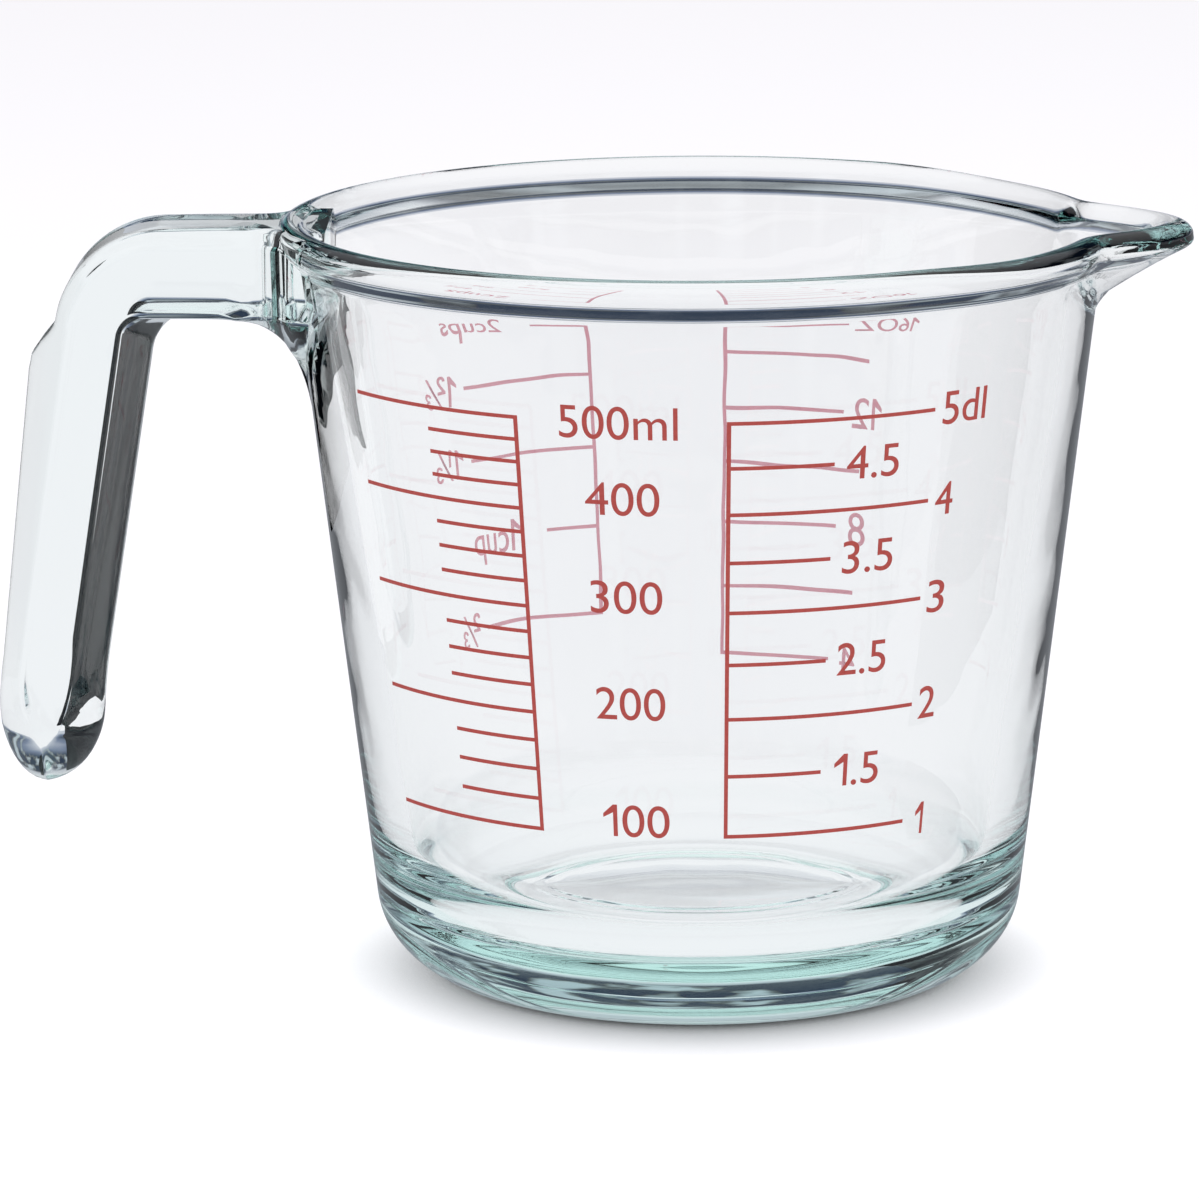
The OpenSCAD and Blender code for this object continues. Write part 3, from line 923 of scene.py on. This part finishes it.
def set_figure(words):
    """The words set from left to right, one run of the built-in face or one flagged figure at a time."""
    gap = 0.1
    bm = bmesh.new()
    pen = 0.0
    for run in re.findall("1|[^1]+", words):
        old = set(bm.verts)
        if run == "1":
            add_one(bm)
        else:
            mesh = flat_words(run)
            bm.from_mesh(mesh)
            bpy.data.meshes.remove(mesh)
        new = [v for v in bm.verts if v not in old]
        bmesh.ops.translate(bm, verts=new, vec=(pen - min(v.co.x for v in new), 0, 0))
        pen = max(v.co.x for v in new) + gap
    return bm


def print_figure(bm, bowl, sizes, words, millilitres, start, end, rise):
    """Wraps flat words onto the wall, beside their mark."""
    flat = set_figure(words)
    ups = [v.co.y for v in flat.verts]
    top = bowl.level(millilitres) + rise * MM + sizes.figure_h / 2
    foot = top - sizes.figure_h * (1 - min(ups) / max(ups))
    lay_on_wall(bm, flat, bowl, sizes, start, end, foot, top)


class JUG_OT_print_figures(bpy.types.Operator):
    """Print the figures and units beside the marks"""

    bl_idname = "jug.print_figures"
    bl_label = "Print Figures"

    def execute(self, context):
        scene = context.scene
        bowl = Bowl(scene.jug_bowl)
        enamel = bpy.data.objects["millilitre_lines"].data.materials[0]
        for name, figures in FIGURES.items():
            bm = bmesh.new()
            for figure in figures:
                print_figure(bm, bowl, scene.jug_print, *figure)
            close_mesh(bm)
            add_piece(name, bm, enamel)
        return {"FINISHED"}


def seen_through(tree):
    """Kinds of rays: from the camera, all by which glass shows its surroundings, and those that its skin mirrors."""
    path = add_node(tree, "ShaderNodeLightPath")
    kinds = {0: path.outputs["Is Glossy Ray"], 1: path.outputs["Is Transmission Ray"]}
    bent = add_node(tree, "ShaderNodeMath", links=kinds, operation="MAXIMUM")
    unlit = add_node(tree, "ShaderNodeMath", {1: 0.5}, {0: path.outputs["Diffuse Depth"]}, operation="LESS_THAN")
    shown = add_node(tree, "ShaderNodeMath", links={0: bent.outputs[0], 1: unlit.outputs[0]}, operation="MULTIPLY")
    # A ray that glass refracts counts as glossy too, so a mirrored one is glossy and not transmitted
    mirrored = add_node(tree, "ShaderNodeMath", links=kinds, operation="GREATER_THAN")
    return path.outputs["Is Camera Ray"], shown.outputs[0], mirrored.outputs[0]


def floor_material(stage):
    """White laminate, satin."""
    # White laminate: an even pale surface, lifted to white where it is looked at, with a painted contact shadow that
    # darkens it close to the foot.
    material, tree = new_material("White laminate, satin")
    camera, shown, mirrored = seen_through(tree)
    # Ambient occlusion paints a contact shadow round the foot, where the camera looks at the floor.
    contact, falloff = 9.5 * MM, 0.46
    shade = add_node(tree, "ShaderNodeAmbientOcclusion", {"Distance": contact}, samples=8)
    soft = add_node(tree, "ShaderNodeMath", {1: falloff}, {0: shade.outputs["AO"]}, operation="POWER")
    near = add_node(tree, "ShaderNodeBsdfDiffuse", {"Color": stage.floor})
    lift = add_node(tree, "ShaderNodeEmission", {"Color": stage.floor_glow})
    lit = add_node(tree, "ShaderNodeAddShader", links={0: near.outputs["BSDF"], 1: lift.outputs["Emission"]})
    dark = add_node(tree, "ShaderNodeEmission", {"Strength": 0.0})
    looked_at_with_painted_shadow = add_node(
        tree, "ShaderNodeMixShader", links={0: soft.outputs[0], 1: dark.outputs["Emission"], 2: lit.outputs[0]}
    )
    paint = add_node(tree, "ShaderNodeBsdfDiffuse", {"Color": stage.floor})
    seen = add_node(
        tree, "ShaderNodeMix", {6: stage.floor_through, 7: stage.floor_mirrored}, {0: mirrored}, data_type="RGBA"
    )
    through = add_node(tree, "ShaderNodeEmission", links={"Color": seen.outputs[2]})
    unseen = add_node(
        tree, "ShaderNodeMixShader", links={0: shown, 1: paint.outputs["BSDF"], 2: through.outputs["Emission"]}
    )
    both = add_node(tree, "ShaderNodeMixShader", links={0: camera, 1: unseen.outputs[0], 2: looked_at_with_painted_shadow.outputs[0]})
    add_node(tree, "ShaderNodeOutputMaterial", links={"Surface": both.outputs[0]})
    return material


# What glass shows of the room, by height above the horizon in degrees
ROOM = (
    (0, "#C8CCD6"),
    (3, "#76829A"),
    (7, "#27364A"),
    (23, "#1E2B3F"),
    (28, "#C4C8D0"),
    (46, "#ECEEF2"),
    (65, WHITE),
)
# Lighter things that stand about in its dark part
PATCH = "#B8C4CC"


def studio_world(scene):
    """White round the jug for the eye, and for clear glass a dark room behind that draws its edges."""
    world = bpy.data.worlds.new("studio")
    scene.world = world
    world.use_nodes = True
    tree = world.node_tree
    tree.nodes.clear()
    camera, shown, _ = seen_through(tree)
    ray = add_node(tree, "ShaderNodeTexCoord")
    parts = add_node(tree, "ShaderNodeSeparateXYZ", links={0: ray.outputs["Generated"]})
    room = add_node(tree, "ShaderNodeValToRGB", links={"Fac": parts.outputs["Z"]})
    stops = room.color_ramp.elements
    while len(stops) < len(ROOM):
        stops.new(0.5)
    for stop, (height, code) in zip(stops, ROOM):
        stop.position = math.sin(math.radians(height))
        stop.color = linear(code)
    clouds = add_node(tree, "ShaderNodeTexNoise", {"Scale": 4.5, "Detail": 3.0}, {"Vector": ray.outputs["Generated"]})
    patches = add_node(tree, "ShaderNodeValToRGB", links={"Fac": clouds.outputs["Fac"]})
    bare, filled = patches.color_ramp.elements
    bare.position = 0.5
    filled.position = 0.6
    filled.color = linear(PATCH)
    mixed = add_node(
        tree,
        "ShaderNodeMix",
        {0: 1.0},
        {6: room.outputs["Color"], 7: patches.outputs["Color"]},
        data_type="RGBA",
        blend_type="LIGHTEN",
    )
    light = add_node(tree, "ShaderNodeBackground", {"Color": linear(WHITE), "Strength": 0.8})
    through = add_node(tree, "ShaderNodeBackground", {"Strength": 1.0}, {"Color": mixed.outputs[2]})
    white = add_node(tree, "ShaderNodeBackground", {"Color": linear(WHITE), "Strength": 1.0})
    inner = add_node(tree, "ShaderNodeMixShader", links={0: shown, 1: light.outputs[0], 2: through.outputs[0]})
    outer = add_node(tree, "ShaderNodeMixShader", links={0: camera, 1: inner.outputs[0], 2: white.outputs[0]})
    add_node(tree, "ShaderNodeOutputWorld", links={"Surface": outer.outputs[0]})


def flag_material():
    """Black card, matt."""
    # Black card: so dark and matt that glass which bends the eye towards it shows a dark stripe.
    material, tree = new_material("Black card, matt")
    body = add_node(tree, "ShaderNodeBsdfDiffuse", {"Color": linear("#05070B")})
    add_node(tree, "ShaderNodeOutputMaterial", links={"Surface": body.outputs["BSDF"]})
    return material


def flag_place():
    """Upright behind the grip, to one side, facing it."""
    away, width, height = 0.22, 0.29, 0.2
    bearing = math.radians(42)
    grip = Matrix.Translation((-0.085, 0, 0))
    behind = Matrix.Rotation(bearing, 4, "Z") @ Matrix.Translation((0, away, height / 2))
    upright = Matrix.Rotation(math.pi / 2, 4, "X")
    return grip @ behind @ upright @ Matrix.Diagonal((width, height, 1, 1))


def add_board(name, material, place):
    """A flat board of the stage, one unit wide before it is placed."""
    bm = bmesh.new()
    bmesh.ops.create_grid(bm, x_segments=1, y_segments=1, size=0.5, matrix=place)
    board = add_mesh(name, bm, material)
    return board


def hang_softbox(scene):
    """A wide disc of soft light over the jug, which no glass shows."""
    lamp = bpy.data.lights.new("softbox", "AREA")
    lamp.shape = "DISK"
    lamp.size = 0.9
    lamp.energy = 6.0
    box = bpy.data.objects.new("softbox", lamp)
    box.location = (0.1, -0.1, 1.4)
    box.visible_glossy = box.visible_transmission = False
    scene.collection.objects.link(box)


def place_camera(scene, stage):
    """The photograph's camera: its turn, tilt and roll in radians, seen from where it stands."""
    data = bpy.data.cameras.new("camera")
    data.lens = stage.lens
    data.sensor_width = 36
    camera = bpy.data.objects.new("camera", data)
    yaw, pitch, roll = -0.0148, 0.2112, -0.0058
    fwd = Vector((math.sin(yaw) * math.cos(pitch), math.cos(yaw) * math.cos(pitch), -math.sin(pitch)))
    right = Vector((math.cos(yaw), -math.sin(yaw), 0))
    up = right.cross(fwd)
    right, up = (
        math.cos(roll) * right + math.sin(roll) * up,
        -math.sin(roll) * right + math.cos(roll) * up,
    )
    turned = Matrix((right, up, -fwd)).transposed().to_4x4()
    camera.matrix_world = Matrix.Translation(Vector(stage.camera_at)) @ turned
    scene.collection.objects.link(camera)
    scene.camera = camera


class JUG_OT_set_stage(bpy.types.Operator):
    """Lay the floor, light the studio and place the camera"""

    bl_idname = "jug.set_stage"
    bl_label = "Set Stage"

    def execute(self, context):
        scene = context.scene
        stage = scene.jug_stage
        below, across = 0.02 * MM, 6
        add_board("floor", floor_material(stage), Matrix.Translation((0, 0, -below)) @ Matrix.Scale(across, 4))
        flag = add_board("black_flag", flag_material(), flag_place())
        flag.visible_camera = flag.visible_diffuse = flag.visible_shadow = False
        studio_world(scene)
        hang_softbox(scene)
        place_camera(scene, stage)
        scene.view_settings.view_transform = "Standard"
        # Light that goes round inside the thick base is followed until it leaves
        scene.cycles.max_bounces = 24
        scene.cycles.glossy_bounces = 16
        scene.cycles.transmission_bounces = 24
        # Light that reaches the floor and the prints through glass stays as clear as the glass
        scene.cycles.blur_glossy = 0.0
        return {"FINISHED"}


OPERATORS = (JUG_OT_press_glass, JUG_OT_fire_scales, JUG_OT_print_figures, JUG_OT_set_stage)
GROUPS = {
    "jug_bowl": BowlSizes,
    "jug_spout": SpoutSizes,
    "jug_handle": HandleSizes,
    "jug_print": PrintSizes,
    "jug_finish": Finishes,
    "jug_stage": StageSettings,
}


class JUG_PT_panel(bpy.types.Panel):
    """Sizes, colours and steps of the measuring jug"""

    bl_idname = "JUG_PT_panel"
    bl_label = "Measuring Jug"
    bl_space_type = "VIEW_3D"
    bl_region_type = "UI"
    bl_category = "Measuring Jug"

    def draw(self, context):
        for name, group in GROUPS.items():
            box = self.layout.box()
            for key in group.__annotations__:
                box.prop(getattr(context.scene, name), key)
        for operator in OPERATORS:
            self.layout.operator(operator.bl_idname)


def register():
    for cls in (*GROUPS.values(), *OPERATORS, JUG_PT_panel):
        bpy.utils.register_class(cls)
    for name, group in GROUPS.items():
        setattr(bpy.types.Scene, name, bpy.props.PointerProperty(type=group))


def unregister():
    for name in GROUPS:
        delattr(bpy.types.Scene, name)
    for cls in (JUG_PT_panel, *OPERATORS, *GROUPS.values()):
        bpy.utils.unregister_class(cls)


def main():
    """Makes the jug and its stage."""
    register()
    bpy.ops.jug.press_glass()
    bpy.ops.jug.fire_scales()
    bpy.ops.jug.print_figures()
    bpy.ops.jug.set_stage()


if __name__ == "__main__":
    main()
